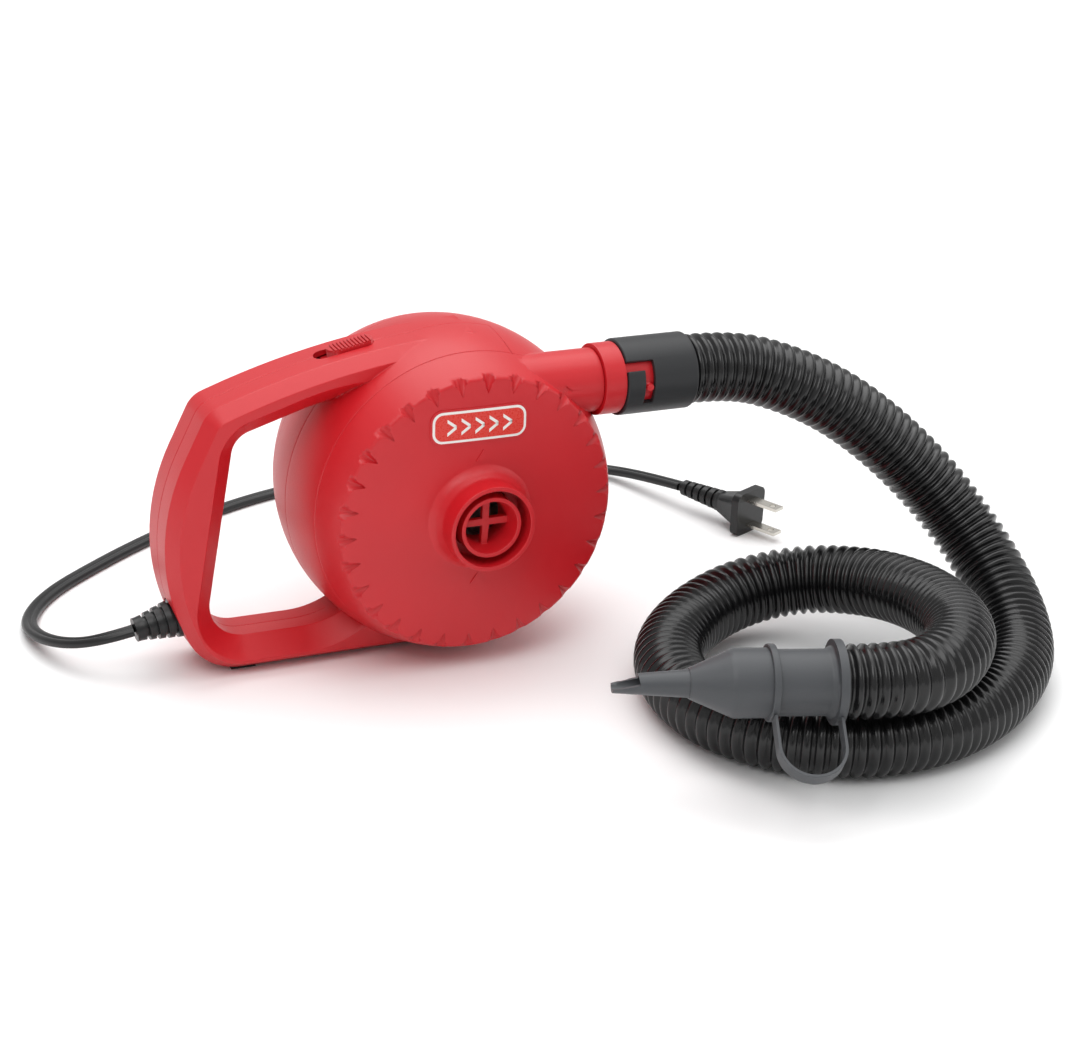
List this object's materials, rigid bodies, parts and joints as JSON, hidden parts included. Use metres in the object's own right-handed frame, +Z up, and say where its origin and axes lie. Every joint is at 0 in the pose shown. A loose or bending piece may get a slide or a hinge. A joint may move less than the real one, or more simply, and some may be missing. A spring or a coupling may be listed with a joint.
{
  "type": "electric air mattress pump",
  "caption": "Barrel-shaped mains blower with a D handle, slide switch, front inlet port, corrugated hose on a bayonet outlet, tethered nozzle and cord.",
  "frame": {"origin": "on the floor, centre of the underside of the middle foot, below the blower axis at the drum's middle plane", "axes": "+X along the outlet pipe, -Y out of the inlet port, +Z up"},
  "size_m": [0.4314, 0.4032, 0.1465],
  "materials": {
    "red_plastic": "fine textured moulding",
    "red_switch": "satin moulding",
    "collar_plastic": "matte moulding",
    "hose_vinyl": "glossy flexible vinyl",
    "cord_vinyl": "satin flexible vinyl",
    "foot_rubber": "matte",
    "inner_plastic": "matte moulding",
    "blade_nickel": "nickel plated",
    "steel": "bare",
    "copper": "enamelled copper",
    "bronze": "sintered",
    "carbon": "pressed carbon",
    "lead_wire": "satin"
  },
  "bodies": {
    "housing": {"handle_shell_front": "red_plastic", "handle_shell_rear": "red_plastic", "front_cover": "red_plastic", "rear_cover": "red_plastic", "port_grille": "red_plastic", "outlet_nipple": "red_plastic", "hose_collar": "collar_plastic", "hose_end_cuff": "collar_plastic", "nozzle_tether": "collar_plastic", "hose_tube": "hose_vinyl", "power_cord": "cord_vinyl", "plug_body": "cord_vinyl", "cord_strain_relief": "cord_vinyl", "foot_middle": "foot_rubber", "foot_heel": "foot_rubber", "scroll_plate": "inner_plastic", "switch_body": "inner_plastic", "brush_holder_left": "inner_plastic", "brush_holder_right": "inner_plastic", "plug_blades": "blade_nickel", "field_stack": "steel", "motor_bracket": "steel", "motor_screws": "steel", "tie_screws": "steel", "handle_screws": "steel", "field_coils": "copper", "bearing_front": "bronze", "bearing_rear": "bronze", "brush_left": "carbon", "brush_right": "carbon", "inner_leads": "lead_wire"},
    "rotor": {"motor_shaft": "steel", "armature_core": "steel", "armature_windings": "copper", "commutator": "copper", "impeller": "inner_plastic", "cooling_fan": "inner_plastic"},
    "slider": {"switch_slider": "red_switch"},
    "nozzle_end": {"nozzle": "collar_plastic"}
  },
  "joints": [
    {"name": "motor_spin", "type": "hinge", "parent": "housing", "child": "rotor", "pos_m": [0, 0, 0.074], "axis": [0, 1, 0], "continuous": true},
    {"name": "switch_slide", "type": "slide", "parent": "housing", "child": "slider", "axis": [-0.9804, 0, -0.1971], "range_m": [0, 0.0058]},
    {"name": "nozzle_pull", "type": "slide", "parent": "housing", "child": "nozzle_end", "axis": [-0.9551, 0.2962, 0], "range_m": [0, 0.02]}
  ]
}
